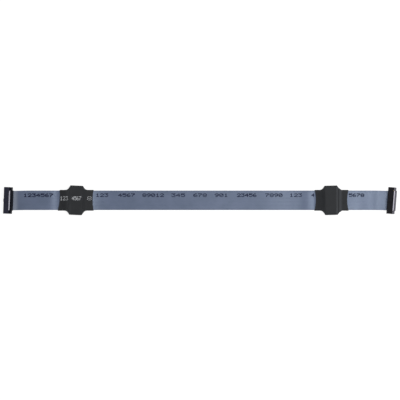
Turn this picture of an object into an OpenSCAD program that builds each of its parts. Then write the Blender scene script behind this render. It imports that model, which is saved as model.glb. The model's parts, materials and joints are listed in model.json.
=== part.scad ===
// Flat ribbon cable: stranded conductors in one grey insulation, a two-row socket
// pressed onto each end, and two flat ferrite cores held on it by shrunk sleeves.
// +X runs along the cable, +Y across it and +Z up. The cable lies on z = 0, and the
// origin is under its middle. Each socket lies on its long side, mating face to -X.

/* [Ribbon] */
// Number of conductors
ways = 14; // [10:2:14]
// Distance between neighbouring conductors
wire_pitch = 1.0; // [0.9:0.05:1.2]
// Thickness of the insulation
ribbon_t = 0.68; // [0.6:0.02:0.84]
// Side of the square that stands for a stranded conductor
wire_w = 0.27; // [0.2:0.01:0.3]
// Inner radius of the ribbon's bend where it turns up into a socket
bend_r = 0.36; // [0.3:0.02:0.5]

/* [Sockets] */
// Thickness of a socket across its two rows
socket_t = 5.0; // [4.6:0.1:6]
// How far a socket reaches past the ribbon at each end
socket_end = 2.55; // [2.4:0.05:3.5]
// Height of the body from the mating face to the ribbon
body_h = 3.9; // [3.6:0.1:5]
// Height of the cover from the ribbon to its back
cover_h = 1.42; // [1.3:0.02:2]
// How much lower the cover's two end blocks are than its middle
cover_step = 0.5; // [0.2:0.05:0.7]
// Distance between the two rows of contacts
row_gap = 2.0; // [1.8:0.1:2.4]
// Width of the polarising key
key_w = 2.2; // [1.5:0.1:3]
// How far the key stands out of the body's side
key_h = 0.8; // [0.4:0.1:1]
// Length of the key from the mating face
key_l = 3.2; // [2:0.1:3.5]
// How far the ribbon's cut end stands out of the socket
stub = 0.3; // [0.1:0.05:0.5]

/* [Contacts] */
// Thickness of a contact's sheet
contact_t = 0.3; // [0.2:0.02:0.34]
// Width of each of the two beams that grip a pin
beam_w = 0.33; // [0.25:0.01:0.36]
// Gap between those beams
beam_gap = 0.44; // [0.36:0.02:0.46]
// Width of each of the two tines that bite a conductor
tine_w = 0.32; // [0.25:0.01:0.34]
// Width of the square hole that a pin enters by
pin_hole = 0.72; // [0.6:0.02:0.8]

/* [Ferrite cores and sleeves] */
// Width of a core across the ribbon
core_w = 20.2; // [18:0.2:24]
// Length of a core along the ribbon
core_l = 8.1; // [6:0.1:9]
// Thickness of a core
core_t = 5.2; // [4:0.1:6.4]
// Radius of a core's four long edges
core_r = 0.9; // [0.5:0.1:1.5]
// Extra width of a core's slot over the ribbon
slot_extra_w = 0.8; // [0.6:0.1:1.6]
// Extra height of a core's slot over the ribbon
slot_extra_t = 0.45; // [0.3:0.05:0.8]
// Length of a sleeve along the ribbon
sleeve_l = 24.6; // [22:0.2:27]
// Wall thickness of a shrunk sleeve
sleeve_wall = 0.35; // [0.25:0.05:0.5]
// Gap between a sleeve and what it is shrunk onto
sleeve_gap = 0.1; // [0.08:0.01:0.15]
// Length over which a sleeve narrows from a core down to the ribbon
flank_l = 3.4; // [2.5:0.1:3.8]

/* [Layout along the cable] */
// Mating edge of the left socket
left_x = -140.1; // [-150:0.05:-140]
// Mating edge of the right socket
right_x = 134.6; // [134.5:0.05:145]
// Turn of the left socket about the vertical, degrees
left_yaw = -2.2; // [-3:0.1:3]
// Turn of the right socket about the vertical, degrees
right_yaw = -4.5; // [-5:0.1:5]
// Middle of the left core
left_core_x = -88.9; // [-89.5:0.1:-88]
// Middle of the right core
right_core_x = 94.1; // [93.5:0.1:94.5]
// Turn of the left core about the vertical, degrees
left_skew = -2.5; // [-3:0.1:3]
// Turn of the right core about the vertical, degrees
right_skew = 1.5; // [-3:0.1:3]

/* [Hidden] */
columns = ways / 2;
ribbon_w = ways * wire_pitch;
socket_l = ribbon_w + 2 * socket_end;

// Fits: side clearance of a contact, of a tine beside its conductor, of the ribbon
// between the cover's end blocks, and of the cover's hooks in the body.
fit = 0.05;
wire_fit = 0.03;
edge_fit = 0.2;
hook_fit = 0.03;
over = 0.01; // a cut runs past its face by this
bend_steps = 8;
shared = 0.4; // length that the flat run and a bend have in common

// A socket's own frame: x from the mating face to the cover's back, y along the
// socket, z across the two rows from the side that faces the table.
gap_x = body_h + ribbon_t / 2;
cover_x = body_h + ribbon_t;
bend_mid = bend_r + ribbon_t / 2;
edge_r = bend_r + 0.03;
fork_half = wire_w / 2 + wire_fit + tine_w;
beam_half = beam_gap / 2 + beam_w;
beam_tip_x = 0.6;
beam_root_x = body_h - 1.3;
fork_root_x = body_h - 0.6;
slot_root_x = body_h - 0.2;
fork_tip_x = cover_x + 0.72;
tip_cut = 0.16;
entry_x = 0.5;
chamber_half_y = beam_half + 0.07;
chamber_half_z = 0.42;

// The cover's hooks: a block at each end stands on the body, and an arm from it
// reaches down a groove in the body's end to a small barb.
block_y = ribbon_w / 2 + edge_fit;
block_in = 0.4;
arm_t = 0.75;
arm_half_z = 1.2;
arm_tip_x = 1.0;
barb_h = 0.5;
barb_out = 0.25;

// The left socket leans back until its cover rests on the ribbon, with its mating
// edge on the table. The right one lies level on the ribbon that passes under it.
lean_reach = gap_x + bend_mid;
left_lean = asin((bend_r + ribbon_t) / norm([lean_reach, bend_r])) - atan2(bend_r, lean_reach);
right_lift = ribbon_t;

// Where the flat run of the ribbon meets each bend, from the socket's mating edge.
left_join = lean_reach * cos(left_lean) - bend_r * sin(left_lean);
right_join = gap_x - bend_mid;

// Heights of the ribbon over its place on the table: at a sleeve's end and in a core.
end_h = sleeve_wall + sleeve_gap;
core_h = sleeve_wall + sleeve_gap + core_t / 2 - ribbon_t / 2;
core_z = core_h + ribbon_t / 2;

// Route of the ribbon's flat run: place along X, and height over the table's place.
ROUTE = [
    [-138, 0], [-133.5, 0], [-129, 0.35], [-117, 1.75], [-108, 1.45], [-101.2, end_h],
    [-93.7, core_h], [-84.1, core_h], [-76.6, 0.9], [-71, 0.25], [-65, 0],
    [25, 0], [50, 0.5], [66, 0], [77, 0.7], [81.8, end_h], [89.3, core_h], [98.9, core_h],
    [106.4, 1.2], [116, 0.6], [122, 0.5], [129, 0], [140, 0]
];

function two(n) = n < 10 ? str("0", n) : str(n);

// ---- Route of the ribbon ----

// A smooth curve through the route's points that never overshoots them.
function rise(i) = (ROUTE[i + 1][1] - ROUTE[i][1]) / (ROUTE[i + 1][0] - ROUTE[i][0]);
function slope_at(i) =
    i == 0 || i == len(ROUTE) - 1 || rise(i - 1) * rise(i) <= 0 ? 0
    : 2 * rise(i - 1) * rise(i) / (rise(i - 1) + rise(i));
function span_of(x, i = 0) = i == len(ROUTE) - 2 || x <= ROUTE[i + 1][0] ? i : span_of(x, i + 1);
function height_in(i, u) =
    let (d = ROUTE[i + 1][0] - ROUTE[i][0], v = 1 - u)
    ROUTE[i][1] * v * v * (1 + 2 * u) + ROUTE[i + 1][1] * u * u * (3 - 2 * u)
    + d * u * v * (slope_at(i) * v - slope_at(i + 1) * u);
function slope_in(i, u) =
    6 * u * (1 - u) * rise(i) + slope_at(i) * (1 - u) * (1 - 3 * u)
    - slope_at(i + 1) * u * (2 - 3 * u);
function ribbon_z(x) =
    let (i = span_of(x), u = (x - ROUTE[i][0]) / (ROUTE[i + 1][0] - ROUTE[i][0]))
    height_in(i, u) + ribbon_t / 2;

// The route as steps of [x, z, slope], finer where it climbs and one step where it is flat.
function is_flat(i) = rise(i) == 0 && slope_at(i) == 0 && slope_at(i + 1) == 0;
function steps_in(i) = is_flat(i) ? 1 : ceil(2 + 3 * abs(ROUTE[i + 1][1] - ROUTE[i][1]));
RUN = [
    for (i = [0:len(ROUTE) - 2], s = [0:steps_in(i) - 1])
        let (u = s / steps_in(i), x = ROUTE[i][0] + u * (ROUTE[i + 1][0] - ROUTE[i][0]))
        [x, height_in(i, u) + ribbon_t / 2, slope_in(i, u)],
    [ROUTE[len(ROUTE) - 1][0], ribbon_t / 2, 0]
];

// One side of a band about the route, at this distance from its middle line.
function run_side(d) = [
    for (p = RUN) let (n = norm([p[2], 1])) [p[0] - d * p[2] / n, p[1] + d / n]
];
function turned(list) = [for (i = [len(list) - 1:-1:0]) list[i]];
function run_outline(t) = concat(run_side(t / 2), turned(run_side(-t / 2)));

// One side of a band through a bend: an arc of radius r about centre, between angles.
function arc(centre, r, from, to, steps) = [
    for (s = [0:steps])
        let (a = from + (to - from) * s / steps)
        centre + r * [cos(a), sin(a)]
];

// The band of thickness t that stands in a socket and bends down to the flat run.
// turn is +1 where the run leaves under the cover and -1 where it leaves under the body,
// lean is the socket's, and the band ends a little way along the run, at x = tail_x.
function leaned(p, lean) = [p[0] * cos(lean) - p[1] * sin(lean), p[0] * sin(lean) + p[1] * cos(lean)];
function bend_outline(t, turn, lean, lift, tail_x) =
    let (
        centre = leaned([gap_x + turn * bend_mid, bend_r], lean) + [0, lift],
        from = (turn > 0 ? 180 : 0) + lean,
        to = turn > 0 ? 270 : -90,
        top = socket_t + stub
    )
    concat(
        [leaned([gap_x - turn * t / 2, top], lean) + [0, lift]],
        arc(centre, bend_mid + t / 2, from, to, bend_steps),
        [[tail_x, ribbon_t / 2 - t / 2], [tail_x, ribbon_t / 2 + t / 2]],
        turned(arc(centre, bend_mid - t / 2, from, to, bend_steps)),
        [leaned([gap_x + turn * t / 2, top], lean) + [0, lift]]
    );

// ---- Placing ----

module at_left() { translate([left_x, 0, 0]) rotate([0, 0, left_yaw]) children(); }
module at_right() { translate([right_x, 0, 0]) rotate([0, 0, right_yaw]) children(); }
module in_left_socket() { at_left() rotate([0, -left_lean, 0]) children(); }
module in_right_socket() { at_right() translate([0, 0, right_lift]) children(); }

// Stands an outline drawn in x and z up, w wide about this y.
module across(y, w) {
    translate([0, y + w / 2, 0]) rotate([90, 0, 0]) linear_extrude(w) children();
}

// ---- Ribbon ----

// A strip of the ribbon from end to end: thickness t, width w, about this y. The flat
// run and each bend share a short length, where the ribbon turns with its socket.
module strip(t, y, w) {
    left_wide = 1 / cos(left_yaw);
    right_wide = 1 / cos(right_yaw);
    difference() {
        across(y, w) polygon(run_outline(t));
        at_left() translate([left_join + shared / 4, 0, 0]) mirror([1, 0, 0]) beyond();
        at_right() translate([right_join - shared / 4, 0, 0]) beyond();
    }
    at_left() across(y * left_wide, w * left_wide)
        polygon(bend_outline(t, 1, left_lean, 0, left_join + shared));
    at_right() across(y * right_wide, w * right_wide)
        polygon(bend_outline(t, -1, 0, right_lift, right_join - shared));
}

// The space past a join, cut off the flat run.
module beyond() {
    translate([0, -ribbon_w, -ribbon_w]) cube(2 * ribbon_w);
}

function wire_y(k) = (k - (ways + 1) / 2) * wire_pitch;

module conductor(k) {
    color("#b87333") strip(wire_w, wire_y(k), wire_w);
}

// The windows that a socket's tines cut in the insulation.
module tine_windows() {
    for (k = [1:ways])
        translate([gap_x, wire_y(k), row_z(k)])
            cube([2 * ribbon_t, 2 * fork_half + fit, contact_t + fit], center = true);
}

module ribbon_insulation() {
    color("#6b788f") difference() {
        strip(ribbon_t, 0, ribbon_w);
        for (k = [1:ways]) strip(wire_w, wire_y(k), wire_w);
        in_left_socket() tine_windows();
        in_right_socket() tine_windows();
    }
}

// ---- Socket ----

function pin_y(k) = (ceil(k / 2) - (columns + 1) / 2) * 2 * wire_pitch;
function row_z(k) = socket_t / 2 + (k % 2 == 0 ? 0.5 : -0.5) * row_gap;
function fork_y(k) = wire_y(k) - pin_y(k);

// A stamped contact: two beams that grip a pin, a web, and a fork that bites a wire.
module contact(k) {
    s = fork_y(k);
    slot = wire_w / 2 + wire_fit;
    hi = max(beam_half, s + fork_half);
    lo = min(-beam_half, s - fork_half);
    color("#c9a24b") translate([0, pin_y(k), row_z(k) - contact_t / 2])
        linear_extrude(contact_t) polygon([
            [beam_tip_x, -beam_half], [beam_tip_x, -beam_gap / 2],
            [beam_root_x, -beam_gap / 2], [beam_root_x, beam_gap / 2],
            [beam_tip_x, beam_gap / 2], [beam_tip_x, beam_half],
            [beam_root_x, beam_half], [beam_root_x, hi], [fork_root_x, hi],
            [fork_root_x, s + fork_half], [fork_tip_x - tip_cut, s + fork_half],
            [fork_tip_x, s + fork_half - tip_cut], [fork_tip_x, s + slot],
            [slot_root_x, s + slot], [slot_root_x, s - slot],
            [fork_tip_x, s - slot], [fork_tip_x, s - fork_half + tip_cut],
            [fork_tip_x - tip_cut, s - fork_half], [fork_root_x, s - fork_half],
            [fork_root_x, lo], [beam_root_x, lo], [beam_root_x, -beam_half]
        ]);
}

// The space that a contact needs in the body: pin entry, beam chamber and fork slit.
module contact_cavity(k) {
    s = fork_y(k);
    hi = max(beam_half, s + fork_half) + fit;
    lo = min(-beam_half, s - fork_half) - fit;
    slit_t = contact_t + fit;
    translate([0, pin_y(k), row_z(k)]) {
        translate([-over, -pin_hole / 2, -pin_hole / 2]) cube([entry_x + 2 * over, pin_hole, pin_hole]);
        translate([entry_x, -chamber_half_y, -chamber_half_z])
            cube([beam_root_x - entry_x, 2 * chamber_half_y, 2 * chamber_half_z]);
        translate([beam_root_x - over, lo, -slit_t / 2])
            cube([body_h - beam_root_x + 2 * over, hi - lo, slit_t]);
    }
}

// A block from x0 to x1 whose two long edges at round_x are rounded for the ribbon.
module rounded_bar(x0, x1, round_x, y, w) {
    side = round_x == x1 ? 1 : -1;
    across(y, w) polygon(concat(
        [[side > 0 ? x0 : x1, socket_t], [side > 0 ? x0 : x1, 0]],
        arc([round_x - side * edge_r, edge_r], edge_r, -90, side > 0 ? 0 : -180, bend_steps),
        arc([round_x - side * edge_r, socket_t - edge_r], edge_r, side > 0 ? 0 : 180, 90, bend_steps)
    ));
}

// The groove in each end of the body that takes a hook of the cover.
module hook_groove() {
    for (side = [0, 1]) mirror([0, side, 0]) {
        arm_y = socket_l / 2 - arm_t - hook_fit;
        tip_x = arm_tip_x - hook_fit;
        translate([tip_x, arm_y, socket_t / 2 - arm_half_z - hook_fit])
            cube([body_h - tip_x + over, arm_t + hook_fit + over, 2 * (arm_half_z + hook_fit)]);
        translate([tip_x, arm_y - barb_out, socket_t / 2 - arm_half_z - hook_fit])
            cube([barb_h + 2 * hook_fit, barb_out + over, 2 * (arm_half_z + hook_fit)]);
    }
}

module socket_body() {
    color("#2b2b30") {
        difference() {
            union() {
                rounded_bar(0, body_h, body_h, 0, socket_l);
                translate([0, -key_w / 2, socket_t - over]) cube([key_l, key_w, key_h + over]);
            }
            for (k = [1:ways]) contact_cavity(k);
            hook_groove();
        }
    }
}

module socket_cover() {
    back_x = cover_x + cover_h;
    block_x = back_x - cover_step;
    color("#1d1d22") difference() {
        union() {
            rounded_bar(cover_x, back_x, cover_x, 0, 2 * block_y + 2 * over);
            for (side = [0, 1]) mirror([0, side, 0]) {
                translate([body_h, block_y, block_in])
                    cube([block_x - body_h, socket_l / 2 - block_y, socket_t - 2 * block_in]);
                translate([arm_tip_x, socket_l / 2 - arm_t, socket_t / 2 - arm_half_z])
                    cube([body_h - arm_tip_x + over, arm_t, 2 * arm_half_z]);
                translate([arm_tip_x, socket_l / 2 - arm_t - barb_out, socket_t / 2 - arm_half_z])
                    cube([barb_h, barb_out + over, 2 * arm_half_z]);
            }
        }
        for (k = [1:ways])
            translate([cover_x - over, wire_y(k) - fork_half - fit, row_z(k) - contact_t / 2 - fit])
                cube([fork_tip_x - cover_x + fit, 2 * (fork_half + fit), contact_t + 2 * fit]);
    }
}

module left_socket_body() { in_left_socket() socket_body(); }
module left_socket_cover() { in_left_socket() socket_cover(); }
module left_contact(k) { in_left_socket() contact(k); }
module right_socket_body() { in_right_socket() socket_body(); }
module right_socket_cover() { in_right_socket() socket_cover(); }
module right_contact(k) { in_right_socket() contact(k); }

// ---- Ferrite cores and sleeves ----

// Corners of a rectangle of half sizes a and b, with round corners of radius r.
CORNER_STEPS = 4;
function rounded_rect(a, b, r) = [
    for (q = [0:3], s = [0:CORNER_STEPS])
        let (t = 90 * q + 90 * s / CORNER_STEPS)
        [(q == 0 || q == 3 ? 1 : -1) * (a - r) + r * cos(t), (q < 2 ? 1 : -1) * (b - r) + r * sin(t)]
];

module core(x, skew) {
    slot = [ribbon_w + slot_extra_w, ribbon_t + slot_extra_t];
    color("#3a3a3d") translate([x, 0, core_z]) rotate([0, 0, skew])
        rotate([90, 0, 90]) difference() {
            linear_extrude(core_l, center = true) polygon(rounded_rect(core_w / 2, core_t / 2, core_r));
            cube([slot[0], slot[1], core_l + 1], center = true);
        }
}

// How far a sleeve has opened from the ribbon (0) to the core (1), this far from its middle.
flank_from = core_l / 2 + 0.15;
function opening(s) = pow(1 - min(1, max(0, (abs(s) - flank_from) / flank_l)), 2);
END_STEPS = 5;
FLANK_STEPS = 5;
HALF_STATIONS = concat(
    [for (s = [0:FLANK_STEPS]) flank_from + flank_l * s / FLANK_STEPS],
    [for (s = [1:END_STEPS]) flank_from + flank_l + (sleeve_l / 2 - flank_from - flank_l) * s / END_STEPS]
);
SLEEVE_STATIONS = concat([for (s = turned(HALF_STATIONS)) -s], HALF_STATIONS);

// One ring of a sleeve's wall, on its inner face (out = 0) or its outer face. It turns
// with the core in the middle and stays in line with the ribbon at its ends.
function sleeve_ring(x, s, skew, out) =
    let (
        b = opening(s),
        grow = sleeve_gap + out,
        half_w = ribbon_w / 2 + b * (core_w - ribbon_w) / 2 + grow,
        half_t = ribbon_t / 2 + b * (core_t - ribbon_t) / 2 + grow,
        r = min(0.98 * half_t, 0.6 * (1 - b) * half_t + b * (core_r + grow))
    )
    [for (p = rounded_rect(half_w, half_t, r))
        let (px = x + s - p[0] * tan(skew))
        [px, p[0] + b * s * tan(skew), ribbon_z(px) + p[1]]];

RING = 4 * (CORNER_STEPS + 1);
module sleeve(x, skew) {
    n = len(SLEEVE_STATIONS);
    points = concat(
        [for (s = SLEEVE_STATIONS, p = sleeve_ring(x, s, skew, sleeve_wall)) p],
        [for (s = SLEEVE_STATIONS, p = sleeve_ring(x, s, skew, 0)) p]
    );
    inner = n * RING;
    faces = concat(
        [for (i = [0:n - 2], j = [0:RING - 1], h = [0, 1])
            let (a = i * RING, k = (j + 1) % RING)
            h == 0 ? [a + j, a + k, a + RING + k] : [a + j, a + RING + k, a + RING + j]],
        [for (i = [0:n - 2], j = [0:RING - 1], h = [0, 1])
            let (a = inner + i * RING, k = (j + 1) % RING)
            h == 0 ? [a + j, a + RING + k, a + k] : [a + j, a + RING + j, a + RING + k]],
        [for (j = [0:RING - 1], h = [0, 1])
            let (k = (j + 1) % RING)
            h == 0 ? [j, inner + k, k] : [j, inner + j, inner + k]],
        [for (j = [0:RING - 1], h = [0, 1])
            let (k = (j + 1) % RING, a = (n - 1) * RING)
            h == 0 ? [a + j, a + k, inner + a + k] : [a + j, inner + a + k, inner + a + j]]
    );
    color("#333436") polyhedron(points, faces);
}

// ---- Parts ----

ribbon_insulation();
for (k = [1:ways]) {
    conductor(k);
    left_contact(k);
    right_contact(k);
}
left_socket_body();
left_socket_cover();
right_socket_body();
right_socket_cover();
core(left_core_x, left_skew);  // left_core
core(right_core_x, right_skew);  // right_core
sleeve(left_core_x, left_skew);  // left_sleeve
sleeve(right_core_x, right_skew);  // right_sleeve
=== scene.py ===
"""Flat ribbon cable with a keyed socket on each end and two sleeved ferrite cores.

+X runs along the ribbon to the right socket, +Y across it and +Z up from the surface
that the cable lies on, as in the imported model. The cable's own sizes are in millimetres,
and the studio's are in metres.
"""

import json
import logging
import math
from collections.abc import Callable, Sequence
from dataclasses import dataclass, replace
from enum import Enum

import bmesh
import bpy
import numpy as np
from mathutils import Matrix, Vector, noise

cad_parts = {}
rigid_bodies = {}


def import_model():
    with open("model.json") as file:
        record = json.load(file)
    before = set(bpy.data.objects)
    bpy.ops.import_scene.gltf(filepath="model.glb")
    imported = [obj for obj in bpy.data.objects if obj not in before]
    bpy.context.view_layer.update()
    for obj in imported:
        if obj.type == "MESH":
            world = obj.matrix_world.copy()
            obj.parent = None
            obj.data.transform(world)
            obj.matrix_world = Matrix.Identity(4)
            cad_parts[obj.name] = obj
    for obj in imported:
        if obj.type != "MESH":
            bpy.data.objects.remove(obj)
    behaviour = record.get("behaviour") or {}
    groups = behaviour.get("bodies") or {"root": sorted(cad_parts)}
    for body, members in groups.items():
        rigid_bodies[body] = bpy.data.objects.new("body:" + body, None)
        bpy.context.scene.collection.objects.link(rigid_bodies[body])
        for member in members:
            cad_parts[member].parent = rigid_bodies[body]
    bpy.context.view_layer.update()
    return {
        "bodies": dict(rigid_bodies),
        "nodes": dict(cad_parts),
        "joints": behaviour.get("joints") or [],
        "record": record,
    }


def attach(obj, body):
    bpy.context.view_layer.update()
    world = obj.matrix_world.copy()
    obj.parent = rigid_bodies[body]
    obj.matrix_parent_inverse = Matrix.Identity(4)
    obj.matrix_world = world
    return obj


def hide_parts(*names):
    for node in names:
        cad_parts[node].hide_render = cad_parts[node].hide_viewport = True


LOG = logging.getLogger("ribbon_cable")

MM = 0.001
BODY = "root"

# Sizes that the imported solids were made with.
WAYS = 14
PITCH = 1.0
RIBBON_W = WAYS * PITCH
RIBBON_T = 0.68
SOCKET_T = 5.0
BODY_H = 3.9
GAP_X = BODY_H + RIBBON_T / 2
BEND_R = 0.36
BEND_MID = BEND_R + RIBBON_T / 2
STUB = 0.3

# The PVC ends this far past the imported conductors, so that its cut face covers them.
END_COVER = 0.02
# Steps of the ribbon from its cut end straight down to the bend.
STRAIGHT_STEPS = 4

# The colour sockets of a mix node, and its colour output.
MIX_A, MIX_B, MIX_RESULT = 6, 7, 2

Pair = tuple[float, float]
Point = tuple[float, float, float]
# A node whose first output feeds another node, or that node and its output.
Source = bpy.types.Node | tuple[bpy.types.Node, int | str]


class Side(Enum):
    """The two ends of the cable."""

    LEFT = "left"
    RIGHT = "right"


class Slot(Enum):
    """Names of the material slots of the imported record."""

    RIBBON = "ribbon_pvc"
    COPPER = "copper_strand"
    SOCKET = "socket_plastic"
    SLEEVE = "sleeve_plastic"


# ---- Node tools ----


def linear(code: str) -> tuple[float, float, float, float]:
    """Turns an sRGB hex colour into a linear one.

    Args:
        code: Six hex digits after a hash sign.

    Returns:
        Linear red, green and blue, and an alpha of one.
    """
    values = [int(code[i : i + 2], 16) / 255 for i in (1, 3, 5)]
    return (
        *(v / 12.92 if v <= 0.04045 else ((v + 0.055) / 1.055) ** 2.4 for v in values),
        1.0,
    )


def add_node(
    tree: bpy.types.NodeTree,
    kind: str,
    settings: dict | None = None,
    links: dict | None = None,
) -> bpy.types.Node:
    """Adds a node with its settings and its incoming links.

    Args:
        tree: The tree that it goes in.
        kind: The node's type name.
        settings: Values for its properties, or for its sockets by name or number. A
            colour ramp's "stops" are the place and the hex colour of each.
        links: For each of its sockets, the node whose first output feeds it, or
            that node and the output's name or number.

    Returns:
        The new node.
    """
    node = tree.nodes.new(kind)
    for key, value in (settings or {}).items():
        if key == "stops":
            for stop, (place, code) in zip(node.color_ramp.elements, value, strict=True):
                stop.position, stop.color = place, linear(code)
        elif isinstance(key, str) and hasattr(node, key):
            setattr(node, key, value)
        else:
            node.inputs[key].default_value = value
    for key, source in (links or {}).items():
        origin, output = source if isinstance(source, tuple) else (source, 0)
        tree.links.new(origin.outputs[output], node.inputs[key])
    return node


def new_material(name: str) -> tuple[bpy.types.Material, bpy.types.NodeTree]:
    """Makes an empty node material.

    Args:
        name: Name of the material.

    Returns:
        The material and its node tree.
    """
    material = bpy.data.materials.new(name)
    material.use_nodes = True
    material.node_tree.nodes.clear()
    return material, material.node_tree


# ---- Camera, light and floor ----


@dataclass(frozen=True)
class FloorPaper:
    """Seamless background paper: matt and pale, so that it shows only soft shadows."""

    colour: str = "#F2F2F2"
    glow: float = 0.86
    grey: float = 0.3

    def build(self) -> bpy.types.Material:
        """Makes the material: white to the camera, plain paper to everything else.

        Returns:
            The material.
        """
        material, tree = new_material("background_paper")
        path = add_node(tree, "ShaderNodeLightPath")
        seen = add_node(
            tree,
            "ShaderNodeMath",
            {"operation": "MAXIMUM"},
            {0: (path, "Is Camera Ray"), 1: (path, "Is Glossy Ray")},
        )
        paper = add_node(tree, "ShaderNodeBsdfDiffuse", {"Color": linear(self.colour)})
        white = add_node(tree, "ShaderNodeEmission", {"Strength": self.glow})
        faint = add_node(tree, "ShaderNodeBsdfDiffuse", {"Color": (*[self.grey] * 3, 1)})
        both = add_node(tree, "ShaderNodeAddShader", {}, {0: white, 1: faint})
        mix = add_node(tree, "ShaderNodeMixShader", {}, {0: seen, 1: paper, 2: both})
        add_node(tree, "ShaderNodeOutputMaterial", {}, {"Surface": mix})
        return material


@dataclass(frozen=True)
class SoftLamp:
    """A square soft lamp: its place, the point that it faces, its size and its watts."""

    name: str
    place: Point
    target: Point
    size: float
    energy: float

    def build(self) -> None:
        """Adds the lamp to the scene."""
        data = bpy.data.lights.new(self.name, "AREA")
        data.shape = "SQUARE"
        data.size = self.size
        data.energy = self.energy
        lamp = bpy.data.objects.new(self.name, data)
        lamp.location = self.place
        direction = Vector(self.target) - Vector(self.place)
        lamp.rotation_euler = direction.to_track_quat("-Z", "Y").to_euler()
        bpy.context.scene.collection.objects.link(lamp)


@dataclass(frozen=True)
class Studio:
    """The plain studio: a camera straight above, soft lamps and a pale floor."""

    span: float = 0.2872
    height: float = 1.5
    focus_height: float = 0.002
    aim_y: float = 0.0002
    sensor_mm: float = 36.0
    far_clip: float = 20.0
    floor_size: float = 6.0
    floor_z: float = -0.00001
    world_strength: float = 0.44
    lamps: tuple[SoftLamp, ...] = (
        SoftLamp("key_lamp", (0.22, 0.06, 0.6), (0.0, 0.0, 0.0), size=0.25, energy=1.8),
        SoftLamp("fill_lamp", (-0.42, 0.0, 0.5), (-0.1, 0.0, 0.0), size=0.3, energy=0.15),
    )

    def camera(self) -> None:
        """Sets up the camera that looks straight down on the whole cable."""
        data = bpy.data.cameras.new("camera_above")
        data.sensor_width = self.sensor_mm
        data.lens = data.sensor_width * (self.height - self.focus_height) / self.span
        data.clip_end = self.far_clip
        camera = bpy.data.objects.new("camera_above", data)
        camera.location = (0.0, self.aim_y, self.height)
        bpy.context.scene.collection.objects.link(camera)
        bpy.context.scene.camera = camera

    def world(self) -> None:
        """Gives an even white surround, which the camera sees as plain white."""
        world = bpy.data.worlds.new("studio_surround")
        bpy.context.scene.world = world
        world.use_nodes = True
        tree = world.node_tree
        tree.nodes.clear()
        path = add_node(tree, "ShaderNodeLightPath")
        seen = add_node(
            tree,
            "ShaderNodeMath",
            {"operation": "MAXIMUM"},
            {0: (path, "Is Camera Ray"), 1: (path, "Is Transmission Ray")},
        )
        light, white = (
            add_node(tree, "ShaderNodeBackground", {"Strength": strength, "Color": (1, 1, 1, 1)})
            for strength in (self.world_strength, 1.0)
        )
        mix = add_node(tree, "ShaderNodeMixShader", {}, {0: seen, 1: light, 2: white})
        add_node(tree, "ShaderNodeOutputWorld", {}, {"Surface": mix})

    def floor(self) -> None:
        """Lays a wide pale floor just under the cable."""
        mesh = bpy.data.meshes.new("floor")
        half = self.floor_size / 2
        corners = [(-half, -half), (half, -half), (half, half), (-half, half)]
        mesh.from_pydata([(x, y, self.floor_z) for x, y in corners], [], [(0, 1, 2, 3)])
        floor = bpy.data.objects.new("floor", mesh)
        bpy.context.scene.collection.objects.link(floor)
        mesh.materials.append(FloorPaper().build())

    def build(self) -> None:
        """Sets up the surround, the floor, the lamps and the view settings."""
        self.world()
        self.floor()
        for lamp in self.lamps:
            lamp.build()
        bpy.context.scene.view_settings.view_transform = "Standard"


# ---- Materials ----


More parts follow.
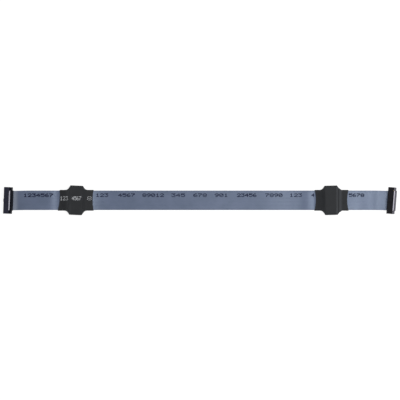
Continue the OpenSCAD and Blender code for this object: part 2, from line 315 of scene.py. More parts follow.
@dataclass(frozen=True)
class Finish:
    """A real material: a slow change of its shade, and the small bumps of its skin.

    A slow noise sets its colour and roughness, and a fine one its bumps. Their sizes
    are along the cable and across it. A band paints light and shade into the colour: it is
    its middle on the cable, the distances from there where its colour stops being full and
    where it is gone, and the colour.
    The IOR, the specular level, the sheen and the metallic start as the shader's own.
    """

    name: str
    colour: str
    shade: str
    colour_at: float = 0.65
    shade_at: float = 0.35
    roughness: float = 0.66
    spread: float = 0.06
    ior: float = 1.5
    specular: float = 0.5
    sheen: str = "#FFFFFF"
    metallic: float = 0.0
    cloud_mm: Pair = (4.0, 4.0)
    cloud_detail: float = 3.0
    skin_mm: Pair = (0.15, 0.15)
    skin_detail: float = 2.0
    skin_depth_mm: float = 0.02
    skin_strength: float = 0.3
    painted_light_bands_mm: tuple[tuple[float, float, float, str], ...] = ()

    def toned(self, tree: bpy.types.NodeTree, place: bpy.types.Node, colour: Source) -> Source:
        """Paints light and shade into the colour, in the bands across the cable.

        Args:
            tree: The material's tree.
            place: The texture coordinates.
            colour: What gives the colour without the bands.

        Returns:
            What gives the colour with them.
        """
        for middle, full, gone, code in self.painted_light_bands_mm:
            axes = add_node(tree, "ShaderNodeSeparateXYZ", {}, {0: (place, "Object")})
            past = add_node(
                tree, "ShaderNodeMath", {"operation": "SUBTRACT", 1: middle * MM}, {0: axes}
            )
            away = add_node(tree, "ShaderNodeMath", {"operation": "ABSOLUTE"}, {0: past})
            ends = {"From Min": full * MM, "From Max": gone * MM, "To Min": 1.0, "To Max": 0.0}
            share = add_node(
                tree,
                "ShaderNodeMapRange",
                {"interpolation_type": "SMOOTHSTEP", **ends},
                {"Value": away},
            )
            settings = {"data_type": "RGBA", MIX_B: linear(code)}
            mix = add_node(tree, "ShaderNodeMix", settings, {0: share, MIX_A: colour})
            colour = (mix, MIX_RESULT)
        return colour

    def build(self) -> bpy.types.Material:
        """Makes the material.

        Returns:
            The material.
        """
        material, tree = new_material(self.name)
        place = add_node(tree, "ShaderNodeTexCoord")
        sizes = [(self.cloud_mm, self.cloud_detail)]
        if self.skin_strength > 0:
            sizes.append((self.skin_mm, self.skin_detail))
        noises = []
        for (run, across), detail in sizes:
            scale = (1 / (run * MM), 1 / (across * MM), 1 / (across * MM))
            stretch = add_node(
                tree, "ShaderNodeMapping", {"Scale": scale}, {"Vector": (place, "Object")}
            )
            settings = {"Scale": 1.0, "Detail": detail}
            noises.append(add_node(tree, "ShaderNodeTexNoise", settings, {"Vector": stretch}))
        colour = add_node(
            tree,
            "ShaderNodeValToRGB",
            {"stops": [(self.shade_at, self.shade), (self.colour_at, self.colour)]},
            {"Fac": noises[0]},
        )
        rough = add_node(
            tree,
            "ShaderNodeMapRange",
            {"To Min": self.roughness - self.spread, "To Max": self.roughness + self.spread},
            {"Value": noises[0]},
        )
        links = {"Base Color": self.toned(tree, place, colour), "Roughness": rough}
        if self.skin_strength > 0:
            links["Normal"] = add_node(
                tree,
                "ShaderNodeBump",
                {"Strength": self.skin_strength, "Distance": self.skin_depth_mm * MM},
                {"Height": noises[1]},
            )
        shader = add_node(
            tree,
            "ShaderNodeBsdfPrincipled",
            {
                "IOR": self.ior,
                "Specular IOR Level": self.specular,
                "Specular Tint": linear(self.sheen),
                "Metallic": self.metallic,
            },
            links,
        )
        add_node(tree, "ShaderNodeOutputMaterial", {}, {"Surface": shader})
        return material


@dataclass(frozen=True)
class RidgedPvc(Finish):
    """PVC extruded over the conductors: its webs are darker, with painted shade and dust."""

    # The webs' colour: painted shade, a little darker than the ridges.
    web: str = "#5A657C"
    web_shade_from: float = 0.2
    web_shade_share: float = 0.7

    def toned(self, tree: bpy.types.NodeTree, place: bpy.types.Node, colour: Source) -> Source:
        """Paints shade into the webs between the ridges, and then paints the bands.

        Args:
            tree: The material's tree.
            place: The texture coordinates.
            colour: What gives the colour of the ridges.

        Returns:
            What gives the colour of the whole face.
        """
        # One turn of the cosine for each conductor, highest in the webs.
        turn = 2 * math.pi / (PITCH * MM)
        axes = add_node(tree, "ShaderNodeSeparateXYZ", {}, {0: (place, "Object")})
        turns = add_node(
            tree, "ShaderNodeMath", {"operation": "MULTIPLY", 1: turn}, {0: (axes, "Y")}
        )
        wave = add_node(tree, "ShaderNodeMath", {"operation": "COSINE"}, {0: turns})
        share = add_node(
            tree,
            "ShaderNodeMapRange",
            {"From Min": self.web_shade_from, "To Max": self.web_shade_share},
            {"Value": wave},
        )
        settings = {"data_type": "RGBA", MIX_B: linear(self.web)}
        webs = add_node(tree, "ShaderNodeMix", settings, {0: share, MIX_A: colour})
        return super().toned(tree, place, (webs, MIX_RESULT))


# Soft grey PVC, extruded: satin, with fine lines along the ribbon from the die, drawn
# coarser than the real ones, so that they show from close by. Beside the left socket its
# colour is painted paler: painted light where the ribbon leaves that socket.
EXTRUDED_PVC = RidgedPvc(
    "extruded_grey_pvc",
    "#656F88",
    "#5C677E",
    colour_at=0.7,
    roughness=0.355,
    spread=0.065,
    ior=1.53,
    specular=0.7,
    sheen="#DCEBFF",
    cloud_mm=(9.0, 9.0),
    skin_mm=(12.0, 0.12),
    skin_strength=0.12,
    # Painted light: a paler band beside the left socket.
    painted_light_bands_mm=((-150.0, 16.6, 20.0, "#8E96A6"),),
)
# Cut PVC: paler and rougher than the extruded skin, because a blade tore it.
CUT_PVC = Finish(
    "cut_grey_pvc",
    "#D8D8E4",
    "#CCCCDA",
    roughness=0.6,
    ior=1.53,
    cloud_mm=(0.8, 0.8),
    skin_mm=(0.1, 0.1),
)
# Glass-filled polyester, moulded: satin, and the fibres leave a fine pebbled skin. The
# left socket's body is a bluer black. The right one's is a darker copy with less specular:
# painted shade. The real pebbles are finer: they are drawn as coarse as they need to show
# from close by.
BLUE_BLACK_BODY = Finish(
    "moulded_blue_black_polyester",
    "#2A2B3A",
    "#252633",
    roughness=0.62,
    ior=1.57,
    specular=0.15,
)
# A shaded copy of the same polyester: its darker colour is painted shade.
SHADED_BLACK_BODY = replace(
    BLUE_BLACK_BODY,
    name="moulded_black_polyester_painted_shade",
    colour="#1E1D21",
    shade="#19181C",
    roughness=0.66,
    specular=0.08,
)
BODY_POLYESTER = {Side.LEFT: BLUE_BLACK_BODY, Side.RIGHT: SHADED_BLACK_BODY}
# The covers come from another mould. The left one's near black is painted shade; the right
# one is a glossier copy whose paler purple colour is a painted sheen.
SHADED_COVER = Finish(
    "black_polyester_cover_painted_shade",
    "#0F111B",
    "#0C0E16",
    ior=1.57,
    specular=0.1,
    skin_mm=(0.2, 0.2),
    skin_depth_mm=0.015,
)
# A lit copy of the cover plastic: its paler purple colour is a painted sheen.
SHEEN_PAINTED_COVER = replace(
    SHADED_COVER,
    name="black_polyester_cover_painted_sheen",
    colour="#3A3548",
    shade="#332F40",
    roughness=0.46,
    specular=0.5,
)
COVER_POLYESTER = {Side.LEFT: SHADED_COVER, Side.RIGHT: SHEEN_PAINTED_COVER}
# Polyolefin film shrunk by heat: matt. On the left sleeve, a paler band on its left flank
# is painted light and a darker one towards its right end is painted shade. On the right
# sleeve, two paler streaks on the core's edge and on the crease are painted highlights.
LIGHT_PAINTED_FILM = Finish(
    "shrunk_black_polyolefin_painted_light",
    "#292B2E",
    "#242629",
    roughness=0.72,
    ior=1.49,
    specular=0.35,
    cloud_mm=(6.0, 6.0),
    skin_mm=(0.35, 0.35),
    skin_depth_mm=0.03,
    painted_light_bands_mm=((-94.5, 0.0, 2.6, "#36383B"), (-79.8, 0.0, 3.5, "#232528")),
)
# The right sleeve's film: its paler streaks are painted highlights.
HIGHLIGHT_PAINTED_FILM = replace(
    LIGHT_PAINTED_FILM,
    name="creased_black_polyolefin_painted_highlights",
    painted_light_bands_mm=((98.25, 0.0, 0.9, "#404246"), (100.7, 0.0, 1.9, "#424448")),
)
SHRUNK_POLYOLEFIN = {Side.LEFT: LIGHT_PAINTED_FILM, Side.RIGHT: HIGHLIGHT_PAINTED_FILM}
# Pressed and sintered ferrite: a dry dark ceramic with a fine grit.
SINTERED_FERRITE = Finish(
    "sintered_ferrite",
    "#3C3C40",
    "#2F2F33",
    roughness=0.7,
    ior=2.0,
    cloud_mm=(3.0, 3.0),
    skin_mm=(0.1, 0.1),
)
# Marking inks, printed on the plastic: flat and slightly uneven.
NAVY_INK = Finish(
    "navy_marking_ink",
    "#0A0F2C",
    "#101638",
    roughness=0.6,
    specular=0.15,
    cloud_mm=(2.0, 2.0),
    skin_mm=(0.2, 0.2),
    skin_depth_mm=0.01,
)
GREY_INK = replace(
    NAVY_INK, name="grey_marking_ink", colour="#C4C6CA", shade="#B2B4B9", specular=0.5
)
# Tinned copper, drawn: pale and bright, with fine lines from the die. The real lines
# are too fine to show on such thin wire, so they are drawn coarser.
TINNED_COPPER = Finish(
    "tinned_copper_strand",
    "#C9AE9B",
    "#B08D76",
    roughness=0.35,
    spread=0.07,
    metallic=1.0,
    cloud_mm=(3.0, 0.05),
    cloud_detail=2.0,
    skin_strength=0.0,
)
# Phosphor bronze, rolled and plated: warm and bright, with lines from the rolls, drawn
# coarser for the same reason.
PLATED_BRONZE = replace(
    TINNED_COPPER,
    name="plated_spring_bronze",
    colour="#D9B872",
    shade="#C8A257",
    roughness=0.3,
    cloud_mm=(3.0, 0.08),
)


# ---- Shapes ----


def smooth_curve(points: Sequence[Pair], x: np.ndarray) -> tuple[np.ndarray, np.ndarray]:
    """Reads the smooth curve that rises and falls only where its points do.

    Args:
        points: The curve's points, each a place along X and a height.
        x: Places along X.

    Returns:
        The heights and the slopes there.
    """
    knots = np.array(points, float)
    rise = np.diff(knots[:, 1]) / np.diff(knots[:, 0])
    slopes = np.zeros(len(knots))
    product = rise[:-1] * rise[1:]
    good = product > 0
    slopes[1:-1][good] = 2 * product[good] / (rise[:-1] + rise[1:])[good]
    i = np.clip(np.searchsorted(knots[:, 0], x) - 1, 0, len(rise) - 1)
    step = knots[i + 1, 0] - knots[i, 0]
    u = (x - knots[i, 0]) / step
    v = 1 - u
    height = (
        knots[i, 1] * v * v * (1 + 2 * u)
        + knots[i + 1, 1] * u * u * (3 - 2 * u)
        + step * u * v * (slopes[i] * v - slopes[i + 1] * u)
    )
    slope = (
        6 * u * v * rise[i] + slopes[i] * v * (1 - 3 * u) - slopes[i + 1] * u * (2 - 3 * u)
    )
    return height, slope


@dataclass(frozen=True)
class Route:
    """The ribbon's flat run: its heights over the table, and its own small waves."""

    knots: tuple[Pair, ...] = (
        (-138, 0), (-133.5, 0), (-129, 0.35), (-117, 1.75), (-108, 1.45), (-101.2, 0.45),
        (-93.7, 2.71), (-84.1, 2.71), (-76.6, 0.9), (-71, 0.25), (-65, 0),
        (25, 0), (50, 0.5), (66, 0), (77, 0.7), (81.8, 0.45), (89.3, 2.71), (98.9, 2.71),
        (106.4, 1.2), (116, 0.6), (122, 0.5), (129, 0), (140, 0),
    )  # fmt: skip
    ripples: tuple[Pair, ...] = (
        (-140, 0), (25, 0), (49, -0.16), (66.5, 0.16), (73.5, -0.16), (80.5, 0.16), (86, 0),
        (105, 0), (112.5, -0.15), (121.5, 0.15), (129, 0), (140, 0),
    )  # fmt: skip

    def at(self, x: np.ndarray) -> tuple[np.ndarray, np.ndarray]:
        """Height and slope of the ribbon's middle.

        Args:
            x: Places along X.

        Returns:
            The heights and the slopes there.
        """
        height, slope = smooth_curve(self.knots, x)
        more, steeper = smooth_curve(self.ripples, x)
        return height + more + RIBBON_T / 2, slope + steeper

    def height(self, x: float) -> float:
        """Height of the ribbon's middle at one place."""
        return float(self.at(np.array([x]))[0][0])


ROUTE = Route()


@dataclass(frozen=True)
class Seat:
    """Where a socket lies: its mating edge, its turn, its lean and its height.

    The yaw and the lean are in degrees. The turn is 1 where the ribbon bends away from
    the mating edge and -1 where it bends back under the body.
    """

    side: Side
    x: float
    yaw: float
    lean: float
    lift: float
    turn: int

    def frame(self) -> Matrix:
        """The socket's own frame as a matrix, in metres."""
        return (
            Matrix.Translation((self.x * MM, 0, self.lift * MM))
            @ Matrix.Rotation(math.radians(self.yaw), 4, "Z")
            @ Matrix.Rotation(-math.radians(self.lean), 4, "Y")
        )

    def leaned(self, x: float, z: float) -> Pair:
        """Leans a point of the socket's upright section.

        Args:
            x: Distance from the mating edge.
            z: Height over the socket's foot.

        Returns:
            The point's place along the socket and its height over the table.
        """
        lean = math.radians(self.lean)
        return (
            x * math.cos(lean) - z * math.sin(lean),
            x * math.sin(lean) + z * math.cos(lean) + self.lift,
        )

    def join(self) -> float:
        """Finds where the bend meets the flat run.

        Returns:
            The distance from the mating edge to there.
        """
        if self.turn < 0:
            return GAP_X - BEND_MID
        lean = math.radians(self.lean)
        return (GAP_X + BEND_MID) * math.cos(lean) - BEND_R * math.sin(lean)

    def run_end(self) -> float:
        """Place along X where the bend meets the flat run."""
        return self.x + self.join() * math.cos(math.radians(self.yaw))

    def bend(self, steps: int) -> list[tuple[float, float, float, float]]:
        """The ribbon's middle line from its cut end, down the socket and round the bend.

        Args:
            steps: Number of steps round the bend.

        Returns:
            Points in the upright plane along the socket, each as its place, its
            height and the direction of the ribbon's upper face there.
        """
        lean = math.radians(self.lean)
        top = SOCKET_T + STUB + END_COVER
        face = (math.cos(lean) * self.turn, math.sin(lean) * self.turn)
        points = []
        for k in range(STRAIGHT_STEPS + 1):
            height = top + (BEND_R - top) * k / STRAIGHT_STEPS
            points.append((*self.leaned(GAP_X, height), *face))
        cx, cz = self.leaned(GAP_X + self.turn * BEND_MID, BEND_R)
        # Round the bend from the socket's face to straight under the bend's middle.
        start = math.pi + lean if self.turn > 0 else lean
        end = 1.5 * math.pi if self.turn > 0 else -0.5 * math.pi
        for k in range(1, steps + 1):
            angle = start + (end - start) * k / steps
            out = (math.cos(angle), math.sin(angle))
            points.append((cx + BEND_MID * out[0], cz + BEND_MID * out[1], -out[0], -out[1]))
        return points


def lean_of_left() -> float:
    """Finds the left socket's lean: its cover rests on the ribbon under it.

    Returns:
        The lean in degrees.
    """
    reach = GAP_X + BEND_MID
    up = math.asin((BEND_R + RIBBON_T) / math.hypot(reach, BEND_R))
    return math.degrees(up - math.atan2(BEND_R, reach))


LEFT_SEAT = Seat(Side.LEFT, x=-140.1, yaw=-2.2, lean=lean_of_left(), lift=0.0, turn=1)
RIGHT_SEAT = Seat(Side.RIGHT, x=134.6, yaw=-4.5, lean=0.0, lift=RIBBON_T, turn=-1)
SEATS = (LEFT_SEAT, RIGHT_SEAT)


def link_mesh(
    name: str,
    points: np.ndarray,
    faces: Sequence[Sequence[int]],
    finishes: Sequence[bpy.types.Material],
) -> bpy.types.Object:
    """Makes a smooth-shaded mesh object from points in millimetres.

    Args:
        name: Name of the piece.
        points: Its points, in millimetres.
        faces: The points of each face.
        finishes: Its materials.

    Returns:
        The new object, in the scene and riding on the part.
    """
    mesh = bpy.data.meshes.new(name)
    mesh.from_pydata((np.asarray(points) * MM).tolist(), [], [list(f) for f in faces])
    for finish in finishes:
        mesh.materials.append(finish)
    mesh.polygons.foreach_set("use_smooth", [True] * len(mesh.polygons))
    mesh.update()
    piece = bpy.data.objects.new(name, mesh)
    bpy.context.scene.collection.objects.link(piece)
    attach(piece, BODY)
    return piece


def circle(x: float, y: float, radius: float, sides: int, start: float = 0.0) -> list[Pair]:
    """Points round a circle, turning left.

    Args:
        x: Middle of the circle along X.
        y: Middle of the circle along Y.
        radius: Its radius.
        sides: Number of points.
        start: Direction of the first point, in radians.

    Returns:
        The points.
    """
    angles = [start + 2 * math.pi * s / sides for s in range(sides)]
    return [(x + radius * math.cos(a), y + radius * math.sin(a)) for a in angles]


def tube_faces(rings: int, around: int, first: int = 0) -> list[list[int]]:
    """Faces between neighbouring closed rings of points.

    Args:
        rings: Number of rings.
        around: Number of points in each.
        first: Number of the first point.

    Returns:
        The faces, facing out where the rings turn left about the way forward.
    """
    faces = []
    for i in range(rings - 1):
        a = first + i * around
        for j in range(around):
            k = (j + 1) % around
            faces.append([a + j, a + k, a + around + k, a + around + j])
    return faces


@dataclass(frozen=True)
class Ribbon:
    """The ribbon: fourteen ridged lobes of PVC in one web, from socket to socket."""

    web_depth: float = 0.18
    lobe_steps: int = 6
    arc_steps: int = 4
    arc_margin: float = 0.01
    bend_steps: int = 10
    flat_step: float = 2.0
    climb_step: float = 0.9
    last_step: float = 1.0
    ease: float = 13.0
    flat_height: float = 1e-6
    flat_slope: float = 1e-9
    finish: Finish = EXTRUDED_PVC

    def half_thickness(self, y: float) -> float:
        """Half the ribbon's thickness at a place across it.

        Args:
            y: Place across the ribbon.

        Returns:
            Half the thickness there.
        """
        radius = RIBBON_T / 2
        past = abs(y) - (RIBBON_W / 2 - radius)
        if past > 0:
            return math.sqrt(max(radius**2 - past**2, 0.0))
        return radius * (1 - self.web_depth * math.cos(math.pi * y / PITCH) ** 2)

    def half_profile(self) -> list[Pair]:
        """The cross-section's upper half, from one edge to the other.

        Returns:
            Places across the ribbon, each with half the thickness there.
        """
        radius = RIBBON_T / 2
        edge = RIBBON_W / 2 - radius
        steps = WAYS * self.lobe_steps
        across = [-RIBBON_W / 2 + RIBBON_W * k / steps for k in range(steps + 1)]
        inner = [y for y in across if abs(y) < edge - self.arc_margin]
        angles = [math.radians(90 * k / self.arc_steps) for k in range(1, self.arc_steps + 1)]
        arc = [(edge + radius * math.cos(a), radius * math.sin(a)) for a in angles]
        return [
            (-RIBBON_W / 2, 0.0),
            *((-y, h) for y, h in arc),
            *((y, self.half_thickness(y)) for y in inner),
            *reversed(arc),
            (RIBBON_W / 2, 0.0),
        ]

    def slant(self, x: np.ndarray) -> tuple[np.ndarray, np.ndarray]:
        """How the ribbon's cross lines turn into line with the sockets near its ends.

        Args:
            x: Places along the flat run.

        Returns:
            The slope of the cross line, and the sideways shift of its middle.
        """
        slope = np.zeros_like(x)
        shift = np.zeros_like(x)
        for seat in SEATS:
            yaw = math.radians(seat.yaw)
            far = np.clip(np.abs(x - seat.run_end()) / self.ease, 0, 1)
            share = 1 - far * far * (3 - 2 * far)
            slope += -math.tan(yaw) * share
            shift += seat.join() * math.sin(yaw) * share
        return slope, shift

    def stations(self) -> np.ndarray:
        """Places the cross-sections of the flat run, closer together where it climbs.

        Returns:
            Their places along X.
        """
        start, end = (seat.run_end() for seat in SEATS)
        places = [start]
        while places[-1] < end - self.last_step:
            height, slope = ROUTE.at(np.array([places[-1]]))
            low = height[0] < RIBBON_T / 2 + self.flat_height
            flat = low and abs(slope[0]) < self.flat_slope
            places.append(places[-1] + (self.flat_step if flat else self.climb_step))
        places[-1] = end
        return np.array(places)

    def upright(
        self, seat: Seat, across: np.ndarray, proud: np.ndarray
    ) -> tuple[list[np.ndarray], list[Point]]:
        """The cross-sections inside a socket and round its bend, from the cut end.

        Args:
            seat: Where the socket lies.
            across: Place across the ribbon of each point of a cross-section.
            proud: Distance of each point from the ribbon's middle.

        Returns:
            The points of every ring, and the middle of every ring.
        """
        yaw = math.radians(seat.yaw)
        cos, sin = math.cos(yaw), math.sin(yaw)
        rings, middles = [], []
        for x, z, nx, nz in seat.bend(self.bend_steps)[:-1]:
            lx = x + proud * nx
            ly = across / cos
            ring = [seat.x + lx * cos - ly * sin, lx * sin + ly * cos, z + proud * nz]
            rings.append(np.stack(ring, axis=1))
            middles.append((seat.x + x * cos, x * sin, z))
        return rings, middles

    def rings(self) -> tuple[np.ndarray, np.ndarray]:
        """The ribbon's cross-sections from its left cut end to its right one.

        Returns:
            The points of every ring, and the middle of every ring.
        """
        upper = self.half_profile()
        lower = upper[-2:0:-1]
        across = np.array([y for y, _ in upper + lower])
        proud = np.array([h for _, h in upper] + [-h for _, h in lower])
        rings, middles = self.upright(LEFT_SEAT, across, proud)
        xs = self.stations()
        for x, cross, shift in zip(xs, *self.slant(xs), strict=True):
            px = x + cross * across
            z, climb = ROUTE.at(px)
            size = np.sqrt(1 + climb**2)
            ring = [px - proud * climb / size, across + shift, z + proud / size]
            rings.append(np.stack(ring, axis=1))
            middles.append((x, shift, ROUTE.height(x)))
        right_rings, right_middles = self.upright(RIGHT_SEAT, across, proud)
        return np.array(rings + right_rings[::-1]), np.array(middles + right_middles[::-1])

    def top_of(self, x: float, y: float, lift: float) -> Point:
        """A point just over the upper face of the flat run.

        Args:
            x: Place along the cable.
            y: Place across the ribbon.
            lift: Height over the face.

        Returns:
            The point.
        """
        _, shift = self.slant(np.array([x]))
        z, climb = ROUTE.at(np.array([x]))
        size = math.hypot(1, climb[0])
        over = self.half_thickness(y) + lift
        return (x - over * climb[0] / size, y + shift[0], z[0] + over / size)

    def build(self, frame: dict) -> bpy.types.Object:
        """Returns:
            The ribbon.
        """
        rings, middles = self.rings()
        count, around, _ = rings.shape
        faces = [face[::-1] for face in tube_faces(count, around)]
        faces.append(list(range(around)))
        faces.append(list(reversed(range((count - 1) * around, count * around))))
        ribbon = link_mesh(
            "ribbon", rings.reshape(-1, 3), faces, [self.finish.build(), CUT_PVC.build()]
        )
        for cap in (ribbon.data.polygons[len(faces) - 2], ribbon.data.polygons[len(faces) - 1]):
            cap.material_index = 1
            cap.use_smooth = False
        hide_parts("ribbon_insulation")
        return ribbon


@dataclass(frozen=True)
class StrandEnds:
    """The seven strands of each conductor, where they show in the ribbon's cut ends.

    One strand lies in the middle and the others round it. A strand's levels are its
    rings of points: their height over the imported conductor's end, and their size.
    """

    outer: int = 6
    radius: float = 0.052
    spacing: float = 0.11
    sides: int = 8
    levels: tuple[Pair, ...] = ((-0.05, 1.0), (0.03, 1.0), (0.045, 0.7))

    def build(self) -> bpy.types.Object:
        """Builds the strand ends of both sockets as one piece.

        Returns:
            The strand ends.
        """
        points: list[Point] = []
        faces: list[list[int]] = []
        sides, top = self.sides, (len(self.levels) - 1) * self.sides
        for seat in SEATS:
            frame = seat.frame()
            for way in range(WAYS):
                y = (way - (WAYS - 1) / 2) * PITCH / math.cos(math.radians(seat.yaw))
                # Each conductor's strands are turned a radian on from its neighbour's.
                ring = circle(GAP_X, y, self.spacing, self.outer, start=way)
                for middle in ((GAP_X, y), *ring):
                    first = len(points)
                    for level, size in self.levels:
                        z = SOCKET_T + STUB + level
                        for px, py in circle(*middle, self.radius * size, sides):
                            points.append(tuple(frame @ (Vector((px, py, z)) * MM) / MM))
                    faces += tube_faces(len(self.levels), sides, first)
                    faces.append([first + top + s for s in range(sides)])
                    faces.append([first + s for s in reversed(range(sides))])
        strands = link_mesh("strand_ends", np.array(points), faces, [TINNED_COPPER.build()])
        return strands


# A plain five by seven dot face for the digits, one row of five bits at a time.
DOT_COLUMNS = 5
DOT_ROWS = 7
DIGITS = (
    (14, 17, 19, 21, 25, 17, 14), (4, 12, 4, 4, 4, 4, 14), (14, 17, 1, 2, 4, 8, 31),
    (31, 2, 4, 2, 1, 17, 14), (2, 6, 10, 18, 31, 2, 2), (31, 16, 30, 1, 1, 17, 14),
    (6, 8, 16, 30, 17, 17, 14), (31, 1, 2, 4, 8, 8, 8), (14, 17, 17, 14, 17, 17, 14),
    (14, 17, 17, 15, 1, 2, 12),
)  # fmt: skip


@dataclass(frozen=True)
class DotPrint:
    """A row of plain digits, each made of small dots of ink on a surface.

    A group is the X of its first and last column and its digits. The gap between two
    digits and the width of one are shares of their pitch.
    """

    name: str
    groups: tuple[tuple[float, float, str], ...]
    middle_y: float
    height: float
    dot: float
    surface: Callable[[float, float, float], Point]
    finish: Finish
    gap: float = 0.25
    width: float = 0.72
    sides: int = 8
    thickness: float = 0.012
    taper: float = 0.86

    def dots(self) -> list[Pair]:
        """Places the dots.

        Returns:
            The middle of every dot, along and across the cable.
        """
        step_y = self.height / (DOT_ROWS - 1)
        found = []
        for start, end, digits in self.groups:
            pitch = (end - start) / (len(digits) - self.gap)
            step_x = pitch * self.width / (DOT_COLUMNS - 1)
            for place, digit in enumerate(digits):
                for row, bits in enumerate(DIGITS[int(digit)]):
                    for column in range(DOT_COLUMNS):
                        if bits & (1 << (DOT_COLUMNS - 1 - column)):
                            x = start + place * pitch + step_x * column
                            found.append((x, self.middle_y + (DOT_ROWS // 2 - row) * step_y))
        return found

    def build(self) -> bpy.types.Object:
        """Builds the print.

        Returns:
            The print, one thin raised dot for each dot of ink.
        """
        points: list[Point] = []
        faces: list[list[int]] = []
        for x, y in self.dots():
            first = len(points)
            for lift, size in ((0.0, 1.0), (self.thickness, self.taper)):
                rim = circle(x, y, self.dot / 2 * size, self.sides, math.pi / self.sides)
                points += [self.surface(px, py, lift) for px, py in rim]
            points.append(self.surface(x, y, self.thickness))
            faces += tube_faces(2, self.sides, first)
            top = first + self.sides
            for s in range(self.sides):
                faces.append([top + s, top + (s + 1) % self.sides, top + self.sides])
        return link_mesh(self.name, np.array(points), faces, [self.finish.build()])


@dataclass(frozen=True)
class Sleeve:
    """A sleeve shrunk over a flat core: a taut oblong that narrows onto the ribbon.

    The mouth is how far each end's middle is drawn in. For the left end and the right
    one, the reach moves the mouth along the ribbon and the slant turns it. The fold is
    a crease across the upper side: its place, its height and its half width. From the
    core, the sleeve overhangs a little, rounds a shoulder and flares down its flank.
    """

    side: Side
    x: float
    skew: float
    seed: float
    mouth: float
    reach: Pair
    slant: Pair
    fold: Point = (0.0, 0.0, 1.0)
    core_w: float = 20.2
    core_l: float = 8.1
    core_t: float = 5.2
    core_r: float = 0.9
    length: float = 24.6
    wall: float = 0.35
    gap: float = 0.1
    lining: float = 0.02
    overhang: float = 0.15
    flank: float = 4.4
    shoulder: float = 0.12
    flare: int = 3
    corner: float = 0.6
    roundest: float = 0.98
    clearance: float = 0.01
    mouth_from: float = 0.6
    mouth_margin: float = 0.5
    wrinkle: float = 0.08
    wrinkle_mm: float = 1.9
    wrinkle_run: float = 0.6
    wrinkle_lift: float = 0.35
    wrinkle_side: float = 0.1
    fade_from: float = 1.6
    fade: float = 0.75
    along: int = 110
    bunching: float = 0.45
    wide_steps: int = 28
    corner_steps: int = 6

    def opening(self, s: float) -> float:
        """How far the sleeve has opened from the ribbon (0) to the core (1).

        Args:
            s: Distance from its middle.

        Returns:
            The opening there.
        """
        start = self.core_l / 2 + self.overhang
        u = min(1.0, max(0.0, (abs(s) - start) / self.flank))
        soft = math.hypot(u, self.shoulder) - self.shoulder
        return (1 - soft / (math.hypot(1, self.shoulder) - self.shoulder)) ** self.flare

    def outline(self, s: float, out: float) -> list[Pair]:
        """A cross-section of the sleeve.

        Args:
            s: Distance from its middle.
            out: How far the surface stands out of its inner face.

        Returns:
            Points across and up, turning left.
        """
        b = self.opening(s)
        grow = self.gap + out
        a = RIBBON_W / 2 + b * (self.core_w - RIBBON_W) / 2 + grow
        c = RIBBON_T / 2 + b * (self.core_t - RIBBON_T) / 2 + grow
        r = min(self.roundest * c, self.corner * (1 - b) * c + b * (self.core_r + grow))
        points = []
        for sx, sy, turn in ((1, 1, 0), (-1, 1, 90), (-1, -1, 180), (1, -1, 270)):
            for k in range(self.corner_steps + 1):
                t = math.radians(turn + 90 * k / self.corner_steps)
                points.append((sx * (a - r) + r * math.cos(t), sy * (c - r) + r * math.sin(t)))
            if turn in (0, 180):
                for k in range(1, self.wide_steps):
                    share = 1 - 2 * k / self.wide_steps
                    points.append((sx * (a - r) * share, sy * c))
        return points

    def settle(self, s: float, p: Pair) -> Point:
        """Places a point of a cross-section on the cable.

        Args:
            s: Distance of the cross-section from the sleeve's middle.
            p: The point across and up.

        Returns:
            The point in the cable's frame.
        """
        tilt = math.tan(math.radians(self.skew))
        far = abs(s) / (self.length / 2)
        end = max(0.0, far - self.mouth_from) / (1 - self.mouth_from)
        inward = 1 - (p[0] / (RIBBON_W / 2 + self.mouth_margin)) ** 2
        right = int(s > 0)
        push = self.reach[right] - self.slant[right] * p[0] - max(self.mouth * inward, 0.0)
        px = self.x + s + math.copysign(1.0, s) * push * end**2 - p[0] * tilt
        return (px, p[0] + self.opening(s) * s * tilt, max(ROUTE.height(px) + p[1], 0.0))

    def creased(self, s: float, p: Pair) -> Pair:
        """Adds the film's shallow creases to a point of a cross-section.

        Args:
            s: Distance of the cross-section from the sleeve's middle.
            p: The point across and up.

        Returns:
            The moved point.
        """
        far = max(0.0, abs(s) - self.core_l / 2) / self.flank
        share = min(1.0, far) * (1 - self.fade * max(0.0, far - self.fade_from))
        place = Vector((s * self.wrinkle_run + self.seed, p[0], p[1]))
        wave = noise.noise(place / self.wrinkle_mm)
        grow = self.wrinkle * share * (wave + self.wrinkle_lift)
        if p[1] > 0:
            fold_s, height, width = self.fold
            grow += height * math.exp(-(((s - fold_s) / width) ** 2))
        across = p[0] * self.wrinkle_side
        size = math.hypot(across, p[1]) or 1.0
        return (p[0] + grow * across / size, p[1] + grow * p[1] / size)

    def stations(self) -> list[float]:
        """Distances of the cross-sections from the middle, closer near both ends."""
        half = self.length / 2
        return [
            half * (math.sin(math.pi / 2 * t) * self.bunching + t * (1 - self.bunching))
            for t in np.linspace(-1, 1, self.along)
        ]

    def top_of(self, x: float, y: float, lift: float) -> Point:
        """A point just over the upper face, near the middle of its width.

        Args:
            x: Place along the cable.
            y: Place across it.
            lift: Height over the face.

        Returns:
            The point.
        """
        s = x - self.x + y * math.tan(math.radians(self.skew))
        b = self.opening(s)
        c = RIBBON_T / 2 + b * (self.core_t - RIBBON_T) / 2 + self.gap + self.wall
        return (x, y, ROUTE.height(x) + self.creased(s, (y, c + self.clearance + lift))[1])

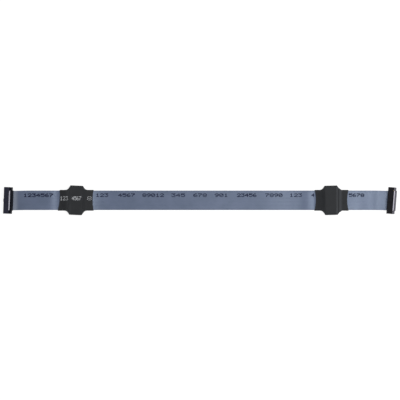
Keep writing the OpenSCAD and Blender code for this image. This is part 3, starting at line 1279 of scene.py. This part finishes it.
    def build(self) -> bpy.types.Object:
        """Builds the sleeve as one closed wall.

        Returns:
            The sleeve.
        """
        outer, inner = [], []
        for s in self.stations():
            outer.append([self.settle(s, self.creased(s, p)) for p in self.outline(s, self.wall)])
            inner.append([self.settle(s, p) for p in self.outline(s, self.lining)])
        around = len(outer[0])
        rings = outer + inner[::-1]
        faces = tube_faces(len(rings), around)
        last = (len(rings) - 1) * around
        for j in range(around):
            k = (j + 1) % around
            faces.append([last + j, last + k, k, j])
        side = self.side.value
        points = np.array(rings).reshape(-1, 3)
        finish = SHRUNK_POLYOLEFIN[self.side].build()
        sleeve = link_mesh(f"{side}_shrunk_sleeve", points, faces, [finish])
        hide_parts(f"{side}_sleeve")
        return sleeve


LEFT_SLEEVE = Sleeve(
    Side.LEFT, x=-88.9, skew=-2.5, seed=3.0, mouth=0.65, reach=(0.25, 0.15), slant=(0.045, 0.045)
)
RIGHT_SLEEVE = Sleeve(
    Side.RIGHT,
    x=94.1,
    skew=1.5,
    seed=47.0,
    mouth=1.0,
    reach=(-0.44, 0.25),
    slant=(0.037, -0.02),
    fold=(6.4, 0.42, 0.75),
)


@dataclass(frozen=True)
class Socket:
    """A two-row socket: the keyed body and the cover that clamps the ribbon.

    Only the edges within the skin of the socket's own box are rounded. Angles are in
    degrees.
    """

    seat: Seat
    edge: float = 0.12
    edge_segments: int = 3
    edge_profile: float = 0.5
    level_weight: int = 100
    skin: float = 0.02
    weld: float = 0.002
    flat_angle: float = 2.0
    edge_angle: float = 35.0
    sharp_angle: float = 38.0

    def outer_edges(self, work: bmesh.types.BMesh) -> list[bmesh.types.BMEdge]:
        """Finds the edges that a mould rounds.

        Args:
            work: The solid's mesh.

        Returns:
            Its sharp edges on the outside of the socket.
        """
        inward = self.seat.frame().inverted()
        places = {v: (inward @ v.co) / MM for v in work.verts}
        low = [min(p[i] for p in places.values()) + self.skin for i in range(3)]
        high = [max(p[i] for p in places.values()) - self.skin for i in range(2)]
        high.append(SOCKET_T - self.skin)
        outside = {
            v
            for v, p in places.items()
            if any(p[i] < low[i] or p[i] > high[i] for i in range(3))
        }
        return [
            e
            for e in work.edges
            if len(e.link_faces) == 2
            and e.calc_face_angle(0.0) > math.radians(self.edge_angle)
            and outside.issuperset(e.verts)
        ]

    def rounded(
        self, node: bpy.types.Object, name: str, finish: bpy.types.Material
    ) -> bpy.types.Object:
        """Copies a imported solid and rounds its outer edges, as a mould does.

        Args:
            node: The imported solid.
            name: Name of the new piece.
            finish: Its material.

        Returns:
            The new piece.
        """
        mesh = node.data.copy()
        mesh.name = name
        mesh.materials.clear()
        mesh.materials.append(finish)
        work = bmesh.new()
        work.from_mesh(mesh)
        bmesh.ops.remove_doubles(work, verts=work.verts, dist=self.weld * MM)
        flat = math.radians(self.flat_angle)
        bmesh.ops.dissolve_limit(work, angle_limit=flat, verts=work.verts, edges=work.edges)
        edges = self.outer_edges(work)
        bmesh.ops.bevel(
            work,
            geom=edges,
            offset=self.edge * MM,
            offset_type="OFFSET",
            segments=self.edge_segments,
            profile=self.edge_profile,
            affect="EDGES",
            clamp_overlap=False,
        )
        LOG.info("%s: %d edges rounded", name, len(edges))
        for face in work.faces:
            face.smooth = True
        work.to_mesh(mesh)
        work.free()
        piece = bpy.data.objects.new(name, mesh)
        bpy.context.scene.collection.objects.link(piece)
        mesh.set_sharp_from_angle(angle=math.radians(self.sharp_angle))
        level = piece.modifiers.new("level_faces", "WEIGHTED_NORMAL")
        level.weight = self.level_weight
        level.keep_sharp = True
        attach(piece, BODY)
        return piece

    def build(self, frame: dict) -> list[bpy.types.Object]:
        """Builds the body and the cover.


        Returns:
            The new pieces.
        """
        side = self.seat.side.value
        made = []
        for part, finishes in (("body", BODY_POLYESTER), ("cover", COVER_POLYESTER)):
            node = frame["nodes"][f"{side}_socket_{part}"]
            piece = self.rounded(node, f"{side}_{part}", finishes[self.seat.side].build())
            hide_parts(node.name)
            made.append(piece)
        return made


# Groups of digits along the ribbon, past the short row beside the left socket.
RIBBON_DIGITS = (
    (-74.7, -66.1, "123"), (-58.5, -47.0, "4567"), (-41.1, -26.1, "89012"),
    (-20.3, -10.9, "345"), (-4.5, 4.7, "678"), (10.8, 20.0, "901"), (26.9, 40.4, "23456"),
    (47.2, 59.1, "7890"), (64.6, 73.2, "123"), (80.4, 82.0, "4"), (107.0, 117.8, "5678"),
)  # fmt: skip


@dataclass(frozen=True)
class CableModel:
    """The whole cable, in the order in which it is built."""

    ribbon: Ribbon = Ribbon()
    strand_ends: StrandEnds = StrandEnds()
    sleeves: tuple[Sleeve, ...] = (LEFT_SLEEVE, RIGHT_SLEEVE)
    sockets: tuple[Socket, ...] = (Socket(LEFT_SEAT), Socket(RIGHT_SEAT))

    def prints(self) -> list[DotPrint]:
        """Sets out the digits on the ribbon and on the left sleeve.

        Returns:
            The rows, in the order in which they are built.
        """
        on_ribbon = {"height": 2.0, "surface": self.ribbon.top_of, "finish": NAVY_INK}
        start = ((-126.5, -105.6, "1234567"),)
        on_sleeve = ((-100.3, -94.8, "123"), (-91.6, -85.2, "4567"), (-80.6, -78.0, "8"))
        return [
            DotPrint("ribbon_print_start", start, middle_y=3.6, dot=0.7, **on_ribbon),
            DotPrint("ribbon_print", RIBBON_DIGITS, middle_y=3.65, dot=0.64, **on_ribbon),
            DotPrint(
                "left_sleeve_print",
                on_sleeve,
                middle_y=1.4,
                height=2.4,
                dot=0.42,
                surface=LEFT_SLEEVE.top_of,
                finish=GREY_INK,
            ),
        ]

    def dress_nodes(self, frame: dict) -> None:
        """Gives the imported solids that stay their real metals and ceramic.
        """
        finishes = {
            "conductor": TINNED_COPPER.build(),
            "contact": PLATED_BRONZE.build(),
            "core": SINTERED_FERRITE.build(),
        }
        for name, node in frame["nodes"].items():
            for word, finish in finishes.items():
                if word in name:
                    node.data.materials.clear()
                    node.data.materials.append(finish)

    def build(self, frame: dict) -> None:
        """Builds every piece and reports it.
        """
        pieces = [self.ribbon.build(frame), self.strand_ends.build()]
        pieces += [sleeve.build() for sleeve in self.sleeves]
        for socket in self.sockets:
            pieces += socket.build(frame)
        pieces += [row.build() for row in self.prints()]
        self.dress_nodes(frame)
        for piece in pieces:
            LOG.info("%s: %d faces", piece.name, len(piece.data.polygons))


def main() -> None:
    """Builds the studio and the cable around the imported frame."""
    logging.basicConfig(level=logging.INFO, format="%(name)s: %(message)s")
    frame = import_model()
    studio = Studio()
    studio.camera()
    CableModel().build(frame)
    studio.build()


if __name__ == "__main__":
    main()
